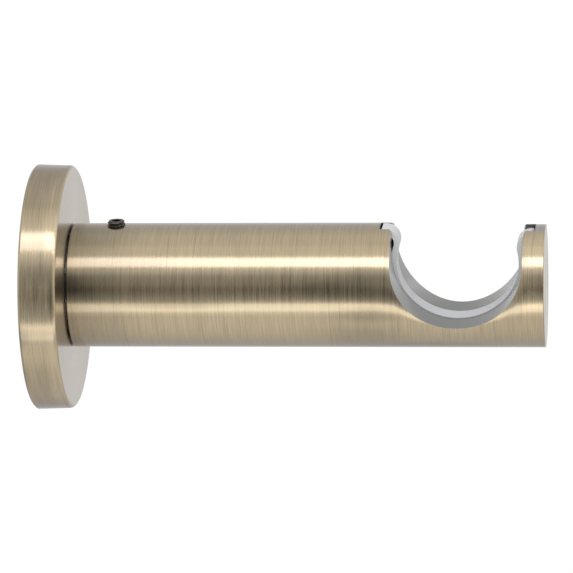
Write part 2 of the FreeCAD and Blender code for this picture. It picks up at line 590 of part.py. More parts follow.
bind(strip, "Radius", (hook_end,), "Sizes.hook_round")
bind(strip, "DistanceX", (left_close, 1), "%s - %s + Sizes.hook_gap" % (CUP_X, NOTCH_REACH))
pad = pole_liner.newObject("PartDesign::Pad", "liner_strip")
pad.Profile = strip
pad.Midplane = True
pad.Length = number("Sizes.liner_width")
pad.setExpression("Length", "Sizes.liner_width")
doc.recompute()

bodies = [wall_plate, spigot, spigot_screw, rose, arm, grub_screw, pole_liner]
doc.recompute()
for item in doc.Objects:
    if "Invalid" in item.State or "Error" in item.State:
        raise RuntimeError("%s does not recompute" % item.Label)
os.makedirs("parts", exist_ok=True)
for body in bodies:
    if body.Shape.isNull() or not body.Shape.isValid() or len(body.Shape.Solids) != 1:
        raise RuntimeError("%s is not one valid solid" % body.Label)
for body in bodies:
    body.Shape.exportStep("parts/%s.step" % body.Label)
    print(body.Label, round(body.Shape.Volume, 1), body.Shape.BoundBox)
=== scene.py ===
import json
import math

import bmesh
import bpy
from mathutils import Matrix, Vector


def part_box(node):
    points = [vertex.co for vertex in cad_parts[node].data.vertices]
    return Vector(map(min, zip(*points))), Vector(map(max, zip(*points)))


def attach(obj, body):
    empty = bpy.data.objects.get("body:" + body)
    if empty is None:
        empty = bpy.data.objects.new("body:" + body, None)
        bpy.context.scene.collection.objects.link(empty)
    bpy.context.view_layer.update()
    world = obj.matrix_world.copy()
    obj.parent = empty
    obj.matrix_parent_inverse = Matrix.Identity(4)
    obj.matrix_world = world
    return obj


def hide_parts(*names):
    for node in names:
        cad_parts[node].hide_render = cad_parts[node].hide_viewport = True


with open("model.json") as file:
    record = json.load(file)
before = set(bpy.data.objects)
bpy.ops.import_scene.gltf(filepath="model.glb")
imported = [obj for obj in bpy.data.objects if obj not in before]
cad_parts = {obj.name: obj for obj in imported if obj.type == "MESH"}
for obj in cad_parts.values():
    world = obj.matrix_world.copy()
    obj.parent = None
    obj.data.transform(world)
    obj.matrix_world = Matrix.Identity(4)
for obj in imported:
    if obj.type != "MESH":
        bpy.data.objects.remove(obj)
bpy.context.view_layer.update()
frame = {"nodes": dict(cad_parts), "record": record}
nodes = frame["nodes"]

MM = 0.001

# Places read from the frame, in metres.
arm_low, arm_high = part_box("arm")
rose_low, rose_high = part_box("rose")
grub_low, grub_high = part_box("grub_screw")
ARM_RADIUS = (arm_high.y - arm_low.y) / 2
ARM_AXIS_Z = (arm_high.z + arm_low.z) / 2
ROSE_RADIUS = (rose_high.y - rose_low.y) / 2
ROSE_AXIS_Z = (rose_high.z + rose_low.z) / 2
ROSE_MIDDLE_X = (rose_low.x + rose_high.x) / 2
GRUB_RADIUS = (grub_high.y - grub_low.y) / 2
GRUB_X = (grub_low.x + grub_high.x) / 2
pole_seat = [mount for mount in frame["record"]["mounts"] if mount["name"] == "pole_seat"][0]
CUP_X, _, CUP_Z = pole_seat["pos_m"]

# The cup in the arm's metal, for a 28 mm pole with 0.7 mm to spare all round.
CUP_RADIUS = 14.7 * MM

# The outer horn's crown: a flatter arc than the arm's, in the plane across the arm.
CROWN_FLATTER = 2.0 * MM
CROWN_DROP = 0.45 * MM
CROWN_RADIUS = ARM_RADIUS + CROWN_FLATTER
CROWN_AXIS_Z = ARM_AXIS_Z + ARM_RADIUS - CROWN_DROP - CROWN_RADIUS


class Graph:
    """Short calls for building the node tree of a new material or world."""

    def __init__(self, owner, coordinate="Object"):
        owner.use_nodes = True
        self.tree = owner.node_tree
        self.place = self.add("ShaderNodeTexCoord").outputs[coordinate]
        split = self.add("ShaderNodeSeparateXYZ")
        self.feed(split.inputs[0], self.place)
        self.x, self.y, self.z = split.outputs

    def add(self, kind, **settings):
        node = self.tree.nodes.new(kind)
        for key, value in settings.items():
            setattr(node, key, value)
        return node

    def feed(self, socket, value):
        """Link a socket, or set its value."""
        if isinstance(value, bpy.types.NodeSocket):
            self.tree.links.new(value, socket)
        elif hasattr(value, "__len__") and len(value) == 3 and socket.type == "RGBA":
            socket.default_value = (*value, 1.0)
        else:
            socket.default_value = value

    def math(self, operation, *values):
        node = self.add("ShaderNodeMath", operation=operation)
        for socket, value in zip(node.inputs, values):
            self.feed(socket, value)
        return node.outputs[0]

    def plus(self, total, *others):
        for other in others:
            total = self.math("ADD", total, other)
        return total

    def minus(self, first, second):
        return self.math("SUBTRACT", first, second)

    def times(self, product, *others):
        for other in others:
            product = self.math("MULTIPLY", product, other)
        return product

    def over(self, first, second):
        return self.math("DIVIDE", first, second)

    def larger(self, first, second):
        return self.math("MAXIMUM", first, second)

    def length(self, first, second):
        """Length of a line with these two parts at right angles."""
        return self.math("SQRT", self.math("MULTIPLY_ADD", first, first, self.times(second, second)))

    def from_axis(self, axis_z):
        """Distance from the line along X at this height."""
        return self.length(self.minus(self.z, axis_z), self.y)

    def vector(self, x, y, z):
        node = self.add("ShaderNodeCombineXYZ")
        for socket, value in zip(node.inputs, (x, y, z)):
            self.feed(socket, value)
        return node.outputs[0]

    def noise(self, vector, scale=1.0, detail=2.0, roughness=0.5):
        node = self.add("ShaderNodeTexNoise")
        self.feed(node.inputs["Vector"], vector)
        self.feed(node.inputs["Scale"], scale)
        self.feed(node.inputs["Detail"], detail)
        self.feed(node.inputs["Roughness"], roughness)
        return node.outputs["Fac"]

    def step(self, value, start, end, low=0.0, high=1.0):
        """The low value before start, the high one after end, smooth between."""
        node = self.add("ShaderNodeMapRange", interpolation_type="SMOOTHSTEP")
        self.feed(node.inputs["Value"], value)
        self.feed(node.inputs["From Min"], start)
        self.feed(node.inputs["From Max"], end)
        self.feed(node.inputs["To Min"], low)
        self.feed(node.inputs["To Max"], high)
        return node.outputs["Result"]

    def depth_step(self, value, surface, start, end):
        """A step whose start and end are depths under a surface."""
        return self.step(value, surface - start, surface - end)

    def swing(self, value, amount):
        """A noise value of 0 to 1 turned into a swing about 0."""
        return self.times(self.minus(value, 0.5), amount)

    def around(self, value, middle, amount):
        """A noise value of 0 to 1 turned into a swing about a middle."""
        return self.plus(self.swing(value, amount), middle)

    def fade(self, factor, a, b):
        """a where the factor is 0, b where it is 1."""
        node = self.add("ShaderNodeMix", data_type="FLOAT")
        self.feed(node.inputs[0], factor)
        self.feed(node.inputs[2], a)
        self.feed(node.inputs[3], b)
        return node.outputs[0]

    def colours(self, factor, a, b):
        """Colour a where the factor is 0, b where it is 1."""
        node = self.add("ShaderNodeMix", data_type="RGBA")
        self.feed(node.inputs[0], factor)
        self.feed(node.inputs[6], a)
        self.feed(node.inputs[7], b)
        return node.outputs[2]

    def scaled(self, colour, factor):
        """A colour times a number."""
        node = self.add("ShaderNodeVectorMath", operation="SCALE")
        self.feed(node.inputs[0], colour)
        self.feed(node.inputs["Scale"], factor)
        return node.outputs[0]


class Finish(Graph):
    """A new principled material and its node tree."""

    def __init__(self, name):
        self.material = bpy.data.materials.new(name)
        super().__init__(self.material)
        self.shader = self.tree.nodes["Principled BSDF"]

    def set(self, name, value):
        self.feed(self.shader.inputs[name], value)

    def relief(self, height):
        """Surface relief from a height in millimetres."""
        node = self.add("ShaderNodeBump")
        self.feed(node.inputs["Height"], height)
        self.feed(node.inputs["Distance"], MM)
        self.set("Normal", node.outputs[0])


# Linear colours: lacquered antique brass, its patina, milled metal and worn metal.
BRASS = (0.420, 0.335, 0.208)
BRASS_DARK = (0.300, 0.240, 0.155)
CUT_METAL = (0.300, 0.298, 0.290)
WORN_METAL = (0.325, 0.315, 0.28)

# Specular tints, the colours of reflections at a grazing angle, and how much brighter polished faces are.
RIM_TINT = (0.62, 0.60, 0.58)
FACE_TINT = (0.97, 0.96, 0.94)
SKIN_TINT = (0.85, 0.84, 0.83)
END_TINT = (1.0, 1.0, 1.0)
CUT_TINT = (0.45, 0.45, 0.45)
FACE_POLISH = 1.25

# Brushed lines, from fine to broad: width and length, and each one's swing in brightness.
HAIR_SIZE = (0.2 * MM, 9.0 * MM)
HAIR_SWING = 0.70
LINE_SIZE = (0.8 * MM, 30.0 * MM)
LINE_SWING = 0.24
BAND_SIZE = (5.0 * MM, 18.0 * MM)
BAND_SWING = 0.14

# Dark scores: width and length, the noise values where one starts and is full, and its darkening.
SCORE_SIZE = (0.3 * MM, 22.0 * MM)
SCORE_START, SCORE_FULL = 0.60, 0.74
SCORE_SHADE = 0.16

# Patina, where line and band are both strong: where it starts and is full, and its greatest share.
PATINA_START, PATINA_FULL = 0.25, 0.38
PATINA_SHARE = 0.35

# Swing of the roughness along the hairs, and depth of the brushing in millimetres.
GLOSS_SWING = 0.26
BRUSH_DEPTH = 0.008

# The patches are smudges, painted shade and painted light; each starts and is full at these shares of its
# half sizes, and it is full on the side towards -Y from this place on.
PATCH_START, PATCH_FULL = 1.3, 0.3
PATCH_SIDE = -3.0 * MM


def rings(graph, radius, width, length):
    """Noise in fine turned lines: a line's width, and how far it runs round before it changes."""
    travel = graph.plus(graph.x, radius)
    place = graph.vector(graph.over(travel, width), graph.over(graph.y, length),
                         graph.over(graph.z, length))
    return graph.noise(place, detail=1.0)


def brushed(graph, radius):
    """Shade, brass colour, roughness swing and height of metal brushed round its axis."""
    hair = rings(graph, radius, *HAIR_SIZE)
    line = rings(graph, radius, *LINE_SIZE)
    band = rings(graph, radius, *BAND_SIZE)
    shade = graph.plus(graph.swing(hair, HAIR_SWING), graph.swing(line, LINE_SWING),
                       graph.swing(band, BAND_SWING))
    score = graph.step(rings(graph, radius, *SCORE_SIZE), SCORE_START, SCORE_FULL)
    shade = graph.plus(graph.minus(shade, graph.times(score, SCORE_SHADE)), 1.0)
    patina = graph.step(graph.times(line, band), PATINA_START, PATINA_FULL)
    brass = graph.colours(graph.times(patina, PATINA_SHARE), BRASS, BRASS_DARK)
    height = graph.times(graph.plus(hair, line), BRUSH_DEPTH)
    return shade, brass, graph.swing(hair, GLOSS_SWING), height


def add_smudges_and_painted_light(graph, shade, patches):
    """The shade with patches on the side towards -Y, each darker by its strength at its middle: smudges and
    painted shade, and painted light where the strength is below 0.
    """
    for across, up, half_width, half_height, strength in patches:
        aside = graph.over(graph.minus(graph.x, across * MM), half_width * MM)
        above = graph.over(graph.minus(graph.z, up * MM), half_height * MM)
        patch = graph.times(graph.step(graph.length(aside, above), PATCH_START, PATCH_FULL),
                            graph.step(graph.y, 0.0, PATCH_SIDE))
        shade = graph.times(shade, graph.minus(1.0, graph.times(patch, strength)))
    return shade


def turned_metal(graph):
    """Settings shared by the brushed brass pieces: grooves run round X, so gloss spreads along them."""
    tangent = graph.add("ShaderNodeTangent", direction_type="RADIAL", axis="X")
    graph.set("Tangent", tangent.outputs[0])
    graph.set("Metallic", 1.0)
    graph.set("Anisotropic", 0.95)
    graph.set("Anisotropic Rotation", 0.25)
    graph.set("Coat Weight", 1.0)
    graph.set("Coat Roughness", 0.15)


# Arm: depths under its surfaces between which milled metal gives way to brushed skin.
SKIN_DEPTHS = (0.22 * MM, 0.16 * MM)
CROWN_DEPTHS = (0.1 * MM, 0.06 * MM)
END_DEPTHS = (0.05 * MM, 0.02 * MM)

# Roughness of its skin, and depth of the milling marks in millimetres.
SKIN_ROUGHNESS = 0.29
MILL_DEPTH = 0.004

# Metal that buffing rolled off along the cup's edge, in two steps: width, and drop in millimetres.
EDGE_ROLLS = [(5.5 * MM, 0.28), (1.6 * MM, 0.13)]

# Painted shade on the arm beside the rose, where the rose's face shades it, darkest at the joint: how far
# out each stretch reaches, and its shade at the rose.
ARM_PAINTED_SHADES = [(20.0 * MM, 0.76), (0.6 * MM, 0.45)]

# Heights of the outer horn's worn crown and of the painted shade in the notches, and the blend at both.
WORN_CROWN_Z = 13.15 * MM
NOTCH_Z = 11.5 * MM
HEIGHT_BLEND = 0.2 * MM

# How far behind the cup's wall the painted shade in a notch starts and is full, and how dark it is.
NOTCH_START, NOTCH_FULL = 0.2 * MM, 0.5 * MM
NOTCH_PAINTED_SHADE = 0.35

# Faint patches on the arm, partly smudges in the lacquer and partly painted shade, in millimetres: middle
# along X and Z, half width and half height.
# The last number is the darkening; below 0 it is painted light that brightens the reflections.
ARM_SMUDGES_AND_PAINTED_LIGHT = [(68.0, 2.4, 12.0, 2.4, 0.28),
               (76.0, 5.4, 9.0, 2.0, 0.18),
               (77.0, 0.7, 7.0, 1.7, 0.18),
               (76.0, -3.5, 8.0, 2.1, 0.24),
               (75.0, -10.0, 9.0, 4.5, 0.18),
               (90.0, -12.6, 14.0, 1.9, 0.30),
               (92.0, 8.6, 34.0, 1.8, -0.12),
               (33.0, -1.0, 14.0, 1.3, 0.22),
               (9.6, 3.4, 2.7, 2.6, 0.45),
               (47.0, -6.5, 24.0, 5.0, -0.09),
               (22.0, 7.8, 14.0, 1.2, 0.14),
               (14.0, 12.6, 9.0, 2.4, 0.20),
               (113.0, 11.6, 6.0, 3.8, -0.22),
               (113.0, 0.2, 6.0, 2.2, -0.34)]


def height_step(graph, height):
    """0 below this height, 1 above it."""
    return graph.step(graph.z, height - HEIGHT_BLEND, height + HEIGHT_BLEND)


def rolled_edge(graph):
    """Height in millimetres of metal that buffing rolled off towards the cup's edge."""
    across = graph.minus(graph.x, CUP_X)
    below = graph.math("MINIMUM", graph.minus(graph.z, CUP_Z), 0.0)
    from_edge = graph.minus(graph.length(below, across), CUP_RADIUS)
    total = 0.0
    for width, drop in EDGE_ROLLS:
        near = graph.larger(graph.minus(1.0, graph.over(from_edge, width)), 0.0)
        total = graph.math("MULTIPLY_ADD", graph.times(near, near), -drop, total)
    return total


def milled_colour(graph, mill):
    """Milled metal of the cup, its channel and the bore, with painted shade in the notches."""
    from_cup = graph.math("ABSOLUTE", graph.minus(graph.x, CUP_X))
    # Painted shade deep in the notches, behind the cup's walls.
    behind_wall = graph.step(from_cup, CUP_RADIUS + NOTCH_START, CUP_RADIUS + NOTCH_FULL)
    notch = graph.times(behind_wall, height_step(graph, NOTCH_Z))
    painted_notch_shade = graph.fade(notch, 1.0, NOTCH_PAINTED_SHADE)
    return graph.scaled(CUT_METAL, graph.times(painted_notch_shade, graph.around(mill, middle=1.0, amount=0.12)))


def arm_brass():
    """Brushed skin and end face, a worn crown on the outer horn, milled metal in every cut, and painted
    shade beside the rose and in the notches.
    """
    graph = Finish("arm_brushed_brass")
    turned_metal(graph)
    radius = graph.from_axis(ARM_AXIS_Z)
    shade, brass, gloss, height = brushed(graph, radius)
    mill = graph.noise(graph.place, scale=900.0, detail=3.0)

    outer_horn = graph.step(graph.x, CUP_X, CUP_X + CUP_RADIUS / 2)
    crown = graph.depth_step(graph.from_axis(CROWN_AXIS_Z), CROWN_RADIUS, *CROWN_DEPTHS)
    end = graph.depth_step(graph.x, arm_high.x, *END_DEPTHS)
    skin = graph.depth_step(radius, ARM_RADIUS, *SKIN_DEPTHS)
    skin = graph.larger(graph.larger(skin, graph.times(crown, outer_horn)), end)

    # Painted shade beside the rose and at the joint between arm and rose.
    painted_side_shade = shade
    for reach, level in ARM_PAINTED_SHADES:
        outward = graph.step(graph.x, arm_low.x, arm_low.x + reach)
        painted_side_shade = graph.times(painted_side_shade, graph.fade(outward, level, 1.0))
    # Patches of smudge and painted shade, and painted light where their darkening is below 0.
    painted_side_shade = add_smudges_and_painted_light(graph, painted_side_shade, ARM_SMUDGES_AND_PAINTED_LIGHT)
    shade = graph.fade(end, painted_side_shade, graph.times(shade, FACE_POLISH))
    worn = graph.times(height_step(graph, WORN_CROWN_Z), outer_horn)
    colour = graph.colours(worn, graph.scaled(brass, shade), graph.scaled(WORN_METAL, shade))
    graph.set("Base Color", graph.colours(skin, milled_colour(graph, mill), colour))

    graph.set("Specular Tint", graph.colours(end, graph.colours(skin, CUT_TINT, SKIN_TINT), END_TINT))
    cut_roughness = graph.around(mill, middle=0.42, amount=0.1)
    graph.set("Roughness", graph.fade(skin, cut_roughness, graph.plus(gloss, SKIN_ROUGHNESS)))
    texture = graph.fade(skin, graph.times(mill, MILL_DEPTH), height)
    graph.relief(graph.plus(texture, graph.times(graph.minus(skin, end), rolled_edge(graph))))
    return graph.material


# Rose: depths behind its front edge where the face starts and is full, and the same for the hollow.
FACE_DEPTHS = (0.5 * MM, 0.05 * MM)
HOLLOW_DEPTHS = (1.5 * MM, 2.0 * MM)

# Depths under the rim between which the hollow's bare metal begins.
HOLLOW_WALL = (1.4 * MM, 2.0 * MM)

# Roughness of the rim, the front face and the hollow.
RIM_ROUGHNESS = 0.28
FACE_ROUGHNESS = 0.16
HOLLOW_ROUGHNESS = 0.45

# Share of the brushing's depth on the face, and curvature of the bulged rim, per millimetre.
FACE_BRUSHING = 0.4
RIM_CURVATURE = 0.014

# Faint patches on the rose's rim, given as the arm's are: partly smudges in the lacquer, partly painted
# shade and painted light that dim or brighten its reflections.
ROSE_SMUDGES_AND_PAINTED_LIGHT = [(5.0, 23.5, 12.0, 4.5, 0.24),
                (5.0, 14.6, 12.0, 1.4, 0.16),
                (5.0, 3.0, 12.0, 4.0, -0.30),
                (5.0, -5.2, 12.0, 2.6, 0.24),
                (5.0, -15.5, 12.0, 5.0, 0.16),
                (7.6, 18.0, 2.6, 12.0, -0.22),
                (7.6, -17.0, 2.6, 12.0, -0.22),
                (8.1, 3.0, 1.2, 5.0, 0.40),
                (0.4, -5.0, 2.0, 3.0, 0.25)]


def rose_brass():
    """Brushed rim, polished front face, and bare metal in the hollow behind."""
    graph = Finish("rose_brushed_brass")
    turned_metal(graph)
    radius = graph.from_axis(ROSE_AXIS_Z)
    shade, brass, gloss, height = brushed(graph, radius)
    face = graph.depth_step(graph.x, rose_high.x, *FACE_DEPTHS)
    hollow = graph.times(graph.depth_step(radius, ROSE_RADIUS, *HOLLOW_WALL),
                         graph.depth_step(graph.x, rose_high.x, *HOLLOW_DEPTHS))

    # The rim gets the patches' smudges, painted shade and painted light; the face gets none.
    shade = graph.fade(face, add_smudges_and_painted_light(graph, shade, ROSE_SMUDGES_AND_PAINTED_LIGHT), graph.times(shade, FACE_POLISH))
    graph.set("Base Color", graph.colours(hollow, graph.scaled(brass, shade), CUT_METAL))
    graph.set("Specular Tint", graph.colours(face, RIM_TINT, FACE_TINT))
    roughness = graph.fade(face, graph.plus(gloss, RIM_ROUGHNESS), FACE_ROUGHNESS)
    graph.set("Roughness", graph.fade(hollow, roughness, HOLLOW_ROUGHNESS))

    from_middle = graph.minus(graph.over(graph.x, MM), ROSE_MIDDLE_X / MM)
    bulge = graph.times(from_middle, from_middle, -RIM_CURVATURE / 2, graph.minus(1.0, face))
    graph.relief(graph.plus(graph.times(height, graph.fade(face, 1.0, FACE_BRUSHING)), bulge))
    return graph.material


# Blued steel, and the steel that rubbing bares on the crests: its depth under them and greatest share.
OXIDE_DARK = (0.045, 0.040, 0.034)
OXIDE_LIGHT = (0.115, 0.104, 0.092)
RUBBED_STEEL = (0.22, 0.21, 0.19)
RUBBED_DEPTH = 0.12 * MM
RUBBED_SHARE = 0.5
GRIME_DEPTH = 0.004


def black_oxide():
    """Blued steel of the grub screw, a little brighter where the thread's crests have rubbed."""
    graph = Finish("grub_black_oxide")
    radius = graph.length(graph.minus(graph.x, GRUB_X), graph.y)
    crest = graph.depth_step(radius, GRUB_RADIUS, RUBBED_DEPTH, 0.0)
    grime = graph.noise(graph.place, scale=2500.0, detail=3.0)
    oxide = graph.colours(grime, OXIDE_DARK, OXIDE_LIGHT)
    graph.set("Metallic", 1.0)
    graph.set("Base Color", graph.colours(graph.times(crest, RUBBED_SHARE), oxide, RUBBED_STEEL))
    graph.set("Roughness", graph.around(grime, middle=0.38, amount=0.2))
    graph.relief(graph.times(grime, GRIME_DEPTH))
    return graph.material


# Liner's plastic: its colour, painted light that makes it darker at the low and lighter at the high end of
# a range of heights, as light falls from above, and how far the flow lines are squeezed across the strip. A
# DEPTH is a texture's, in millimetres.
PLASTIC = (0.765, 0.765, 0.757)
PAINTED_LIGHT_HEIGHTS = (-4.0 * MM, 9.0 * MM)
PAINTED_LIGHT_LOW, PAINTED_LIGHT_HIGH = 0.92, 1.09
FLOW_SQUEEZE = 6.0
PLASTIC_DEPTH = 0.0012


def pale_plastic():
    """Moulded pale plastic of the liner, with faint flow lines across the strip, and painted light that is
    lighter towards the top.
    """
    graph = Finish("liner_pale_plastic")
    grain = graph.noise(graph.place, scale=3500.0, detail=2.0)
    squeezed = graph.vector(graph.x, graph.times(graph.y, FLOW_SQUEEZE), graph.z)
    flow = graph.noise(squeezed, scale=260.0, detail=2.0)
    tone = graph.plus(graph.swing(grain, 0.03), graph.around(flow, middle=1.0, amount=0.06))
    # Painted light: darker low down and lighter towards the top, where light from above falls.
    tone = graph.times(tone, graph.fade(graph.step(graph.z, *PAINTED_LIGHT_HEIGHTS), PAINTED_LIGHT_LOW, PAINTED_LIGHT_HIGH))
    graph.set("Base Color", graph.scaled(PLASTIC, tone))
    graph.set("Roughness", graph.around(grain, middle=0.48, amount=0.1))
    graph.relief(graph.times(graph.plus(grain, flow), PLASTIC_DEPTH))
    return graph.material


# Zinc plate: its colours, and how far the rolling lines are squeezed along Y, which draws them out.
ZINC_DARK = (0.40, 0.42, 0.45)
ZINC_LIGHT = (0.60, 0.62, 0.64)
ROLLED_SQUEEZE = 0.1
SPANGLE_DEPTH = 0.004


def zinc():
    """Bright zinc plate with a fine spangle and faint rolling lines."""
    graph = Finish("zinc_plated_steel")
    spangle = graph.noise(graph.place, scale=420.0, detail=4.0, roughness=0.6)
    squeezed = graph.vector(graph.x, graph.times(graph.y, ROLLED_SQUEEZE), graph.z)
    rolled = graph.noise(squeezed, scale=2200.0)
    graph.set("Metallic", 1.0)
    graph.set("Base Color", graph.colours(spangle, ZINC_DARK, ZINC_LIGHT))
    graph.set("Roughness", graph.around(rolled, middle=0.34, amount=0.14))
    graph.relief(graph.times(graph.plus(spangle, rolled), SPANGLE_DEPTH))
    return graph.material


# Spigot: its axis, which is the frame's own X axis, its colours and the width and length of its lines.
SPIGOT_AXIS_Z = 0.0
ALUMINIUM_DARK = (0.50, 0.51, 0.52)
ALUMINIUM_LIGHT = (0.68, 0.69, 0.70)
TURNING_SIZE = (0.12 * MM, 20.0 * MM)
TURNING_DEPTH = 0.006


def turned_aluminium():
    """Machined light metal with turning lines round its axis."""
    graph = Finish("turned_aluminium")
    lines = rings(graph, graph.from_axis(SPIGOT_AXIS_Z), *TURNING_SIZE)
    graph.set("Metallic", 1.0)
    graph.set("Base Color", graph.colours(lines, ALUMINIUM_DARK, ALUMINIUM_LIGHT))
    graph.set("Roughness", graph.around(lines, middle=0.3, amount=0.16))
    graph.relief(graph.times(lines, TURNING_DEPTH))
    return graph.material


def finish_node(name, material):
    for slot in nodes[name].material_slots:
        slot.material = material


zinc_finish = zinc()
finish_node("arm", arm_brass())
finish_node("rose", rose_brass())
finish_node("pole_liner", pale_plastic())
finish_node("wall_plate", zinc_finish)
finish_node("spigot_screw", zinc_finish)
finish_node("spigot", turned_aluminium())


# Grub screw with its thread: rings of points up the axis, each pushed in or out by the helix.
THREAD_PITCH = 0.7 * MM
THREAD_DEPTH = 0.36 * MM
THREAD_ROUND = 96
THREAD_RINGS_A_PITCH = 14
TIP_RADIUS = 0.02 * MM
TOP_CHAMFER = 0.3 * MM
SHARP_ANGLE = math.radians(35)

# Shares of half a pitch that the thread's crest and root take up.
THREAD_CREST = 0.13
THREAD_ROOT = 0.22

# Hexagon for the key: its size, the chamfer at its mouth, and the floor's rounding, size and cone.
KEY_FLATS = 2.0 * MM
KEY_DEPTH = 2.0 * MM
KEY_CHAMFER = 0.06 * MM
KEY_FLOOR_ROUND = 0.05 * MM
KEY_FLOOR_SHARE = 0.9
KEY_FLOOR_CONE = 0.25 * MM


def thread_profile(phase):
    """Depth of the thread at a phase of 0 to 1: flat crest, straight flanks and flat root."""
    away = abs(phase - 0.5) * 2
    if away > 1 - THREAD_CREST:
        return 0.0
    if away < THREAD_ROOT:
        return 1.0
    return (1 - THREAD_CREST - away) / (1 - THREAD_CREST - THREAD_ROOT)


def hexagon(turn):
    """Distance from the axis to the key's hexagon in this direction."""
    side = (turn + math.pi / 6) % (math.pi / 3) - math.pi / 6
    return KEY_FLATS / 2 / math.cos(side)


def grub_mesh():
    low, high = grub_low.z, grub_high.z
    mesh = bmesh.new()

    def ring(radius_at, height):
        corners = []
        for i in range(THREAD_ROUND):
            turn = 2 * math.pi * i / THREAD_ROUND
            radius = radius_at(turn)
            place = (GRUB_X + radius * math.cos(turn), radius * math.sin(turn), height)
            corners.append(mesh.verts.new(place))
        return corners

    def threaded(height):
        def radius_at(turn):
            phase = ((height - low) / THREAD_PITCH - turn / (2 * math.pi)) % 1.0
            outer = GRUB_RADIUS - THREAD_DEPTH * thread_profile(phase)
            tip = (height - low) + TIP_RADIUS
            top = GRUB_RADIUS - TOP_CHAMFER + (high - height)
            return max(min(outer, tip, top), TIP_RADIUS)
        return radius_at

    count = round((high - low) / THREAD_PITCH * THREAD_RINGS_A_PITCH)
    heights = [low + (high - low) * i / count for i in range(count + 1)]
    loops = [ring(threaded(height), height) for height in heights]
    loops.append(ring(lambda turn: hexagon(turn) + KEY_CHAMFER, high))
    loops.append(ring(hexagon, high - KEY_CHAMFER))
    loops.append(ring(hexagon, high - KEY_DEPTH + KEY_FLOOR_ROUND))
    loops.append(ring(lambda turn: hexagon(turn) * KEY_FLOOR_SHARE, high - KEY_DEPTH))
    for lower, upper in zip(loops, loops[1:]):
        for i in range(THREAD_ROUND):
            following = (i + 1) % THREAD_ROUND
            mesh.faces.new((lower[i], lower[following], upper[following], upper[i]))
    mesh.faces.new(list(reversed(loops[0])))
    floor_centre = mesh.verts.new((GRUB_X, 0.0, high - KEY_DEPTH - KEY_FLOOR_CONE))
    last = loops[-1]
    for i in range(THREAD_ROUND):
        mesh.faces.new((last[i], last[(i + 1) % THREAD_ROUND], floor_centre))
    bmesh.ops.recalc_face_normals(mesh, faces=mesh.faces)
    data = bpy.data.meshes.new("grub_screw_threaded")
    mesh.to_mesh(data)
    mesh.free()
    data.shade_smooth()
    data.set_sharp_from_angle(angle=SHARP_ANGLE)
    return data


grub = bpy.data.objects.new("grub_screw_threaded", grub_mesh())
bpy.context.scene.collection.objects.link(grub)
grub.data.materials.append(black_oxide())
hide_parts("grub_screw")
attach(grub, "root")


# World and floor, white to the camera. TARGET is the middle of the view.
TARGET = Vector((56.724, 0.0, -0.393)) * MM
FLOOR_Z = -0.45
FLOOR_SIZE = 12.0
FLOOR_PAINT = (0.2, 0.2, 0.2)
FLOOR_LEVEL = 0.9

# What glossy rays see of the white: start and end along Y of each change, and the factor it reaches.
WORLD_CHANGES = [(0.3, 1.0, 0.64)]
FLOOR_CHANGES = [(-0.3, 0.5, 0.48), (0.9, 1.6, 1.28)]

# What diffuse rays see of it.
WORLD_DIFFUSE = 0.55
FLOOR_DIFFUSE = 0.4


def quad(name, centre, across, up):
    """Flat sheet given by its centre and two half sides."""
    data = bpy.data.meshes.new(name)
    corners = [centre - across - up, centre + across - up, centre + across + up, centre - across + up]
    data.from_pydata(corners, [], [(0, 1, 2, 3)])
    sheet = bpy.data.objects.new(name, data)
    bpy.context.scene.collection.objects.link(sheet)
    return sheet


def paint_sheet(sheet, name):
    """Graph of a sheet's new material, without its principled shader, and its surface socket."""
    material = bpy.data.materials.new(name)
    graph = Graph(material)
    graph.tree.nodes.remove(graph.tree.nodes["Principled BSDF"])
    sheet.data.materials.append(material)
    return graph, graph.tree.nodes["Material Output"].inputs["Surface"]


def background_level(graph, changes, diffuse):
    """White to camera and transmission rays, a changing level to glossy ones, one level to diffuse ones."""
    rays = graph.add("ShaderNodeLightPath").outputs
    glossy = rays["Is Glossy Ray"]
    for start, end, factor in changes:
        glossy = graph.times(glossy, graph.step(graph.y, start, end, low=1.0, high=factor))
    white = graph.larger(rays["Is Camera Ray"], rays["Is Transmission Ray"])
    matt = graph.times(rays["Is Diffuse Ray"], diffuse)
    return graph.larger(graph.larger(white, glossy), matt)


def make_world():
    world = bpy.data.worlds.new("studio")
    bpy.context.scene.world = world
    graph = Graph(world, coordinate="Generated")
    background = graph.tree.nodes["Background"]
    graph.feed(background.inputs["Color"], (1.0, 1.0, 1.0))
    graph.feed(background.inputs["Strength"], background_level(graph, WORLD_CHANGES, WORLD_DIFFUSE))


def make_floor():
    """Pale floor that glows like the world and is clear from below."""
    half = FLOOR_SIZE / 2
    floor = quad("floor", Vector((0, 0, FLOOR_Z)), Vector((half, 0, 0)), Vector((0, half, 0)))
    graph, surface = paint_sheet(floor, "pale_floor")
    paint = graph.add("ShaderNodeBsdfDiffuse")
    graph.feed(paint.inputs["Color"], FLOOR_PAINT)
    glow = graph.add("ShaderNodeEmission")
    level = background_level(graph, FLOOR_CHANGES, FLOOR_DIFFUSE)
    graph.feed(glow.inputs["Strength"], graph.times(level, FLOOR_LEVEL))
    both = graph.add("ShaderNodeAddShader")
    graph.feed(both.inputs[0], paint.outputs[0])
    graph.feed(both.inputs[1], glow.outputs[0])
    clear = graph.add("ShaderNodeBsdfTransparent")
    side = graph.add("ShaderNodeNewGeometry").outputs["Backfacing"]
    from_below = graph.add("ShaderNodeMixShader")
    graph.feed(from_below.inputs[0], side)
    graph.feed(from_below.inputs[1], both.outputs[0])
    graph.feed(from_below.inputs[2], clear.outputs[0])
    graph.feed(surface, from_below.outputs[0])


# A lamp's energy is this many times its area times the radiance asked of it.
ENERGY_FACTOR = 4


